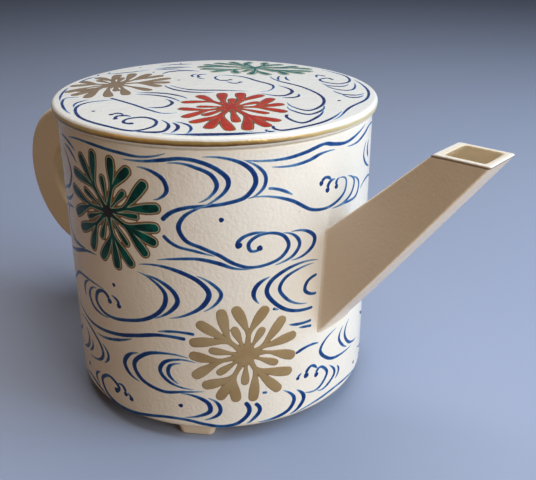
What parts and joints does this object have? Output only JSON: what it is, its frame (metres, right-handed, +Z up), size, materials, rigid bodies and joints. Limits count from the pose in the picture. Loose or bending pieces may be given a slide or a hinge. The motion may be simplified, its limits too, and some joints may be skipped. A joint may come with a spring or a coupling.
{
  "type": "water ewer",
  "caption": "Round lidded ceramic water ewer with a flat-sided box spout, a thick loop handle, three low feet and a loose flat lid.",
  "frame": {"origin": "on the pot's axis, in the plane that the three feet stand on", "axes": "+Z up along the pot's axis, +X towards the spout, -X towards the handle"},
  "size_m": [0.2872, 0.1492, 0.1448],
  "materials": {
    "pot_glaze": "cream glaze with a fine orange-peel surface, painted cobalt lines and enamel flowers",
    "lid_glaze": "cream glaze, painted cobalt lines and enamel flowers, gold line round the edge",
    "foot_clay": "thin matt glaze over pale clay, bare sole",
    "ring_clay": "unglazed pale clay"
  },
  "bodies": {
    "pot": {"pot_wall": "pot_glaze", "pot_floor": "pot_glaze", "foot_left": "foot_clay", "foot_right": "foot_clay", "foot_back": "foot_clay", "spout_left_side": "pot_glaze", "spout_right_side": "pot_glaze", "spout_upper_slab": "pot_glaze", "spout_lower_slab": "pot_glaze", "handle": "pot_glaze"},
    "lid": {"lid_disc": "lid_glaze", "lid_locating_ring": "ring_clay"}
  },
  "joints": [
    {"name": "lid_lift", "type": "slide", "parent": "pot", "child": "lid", "axis": [0, 0, 1], "range_m": [0, 0.08]}
  ]
}
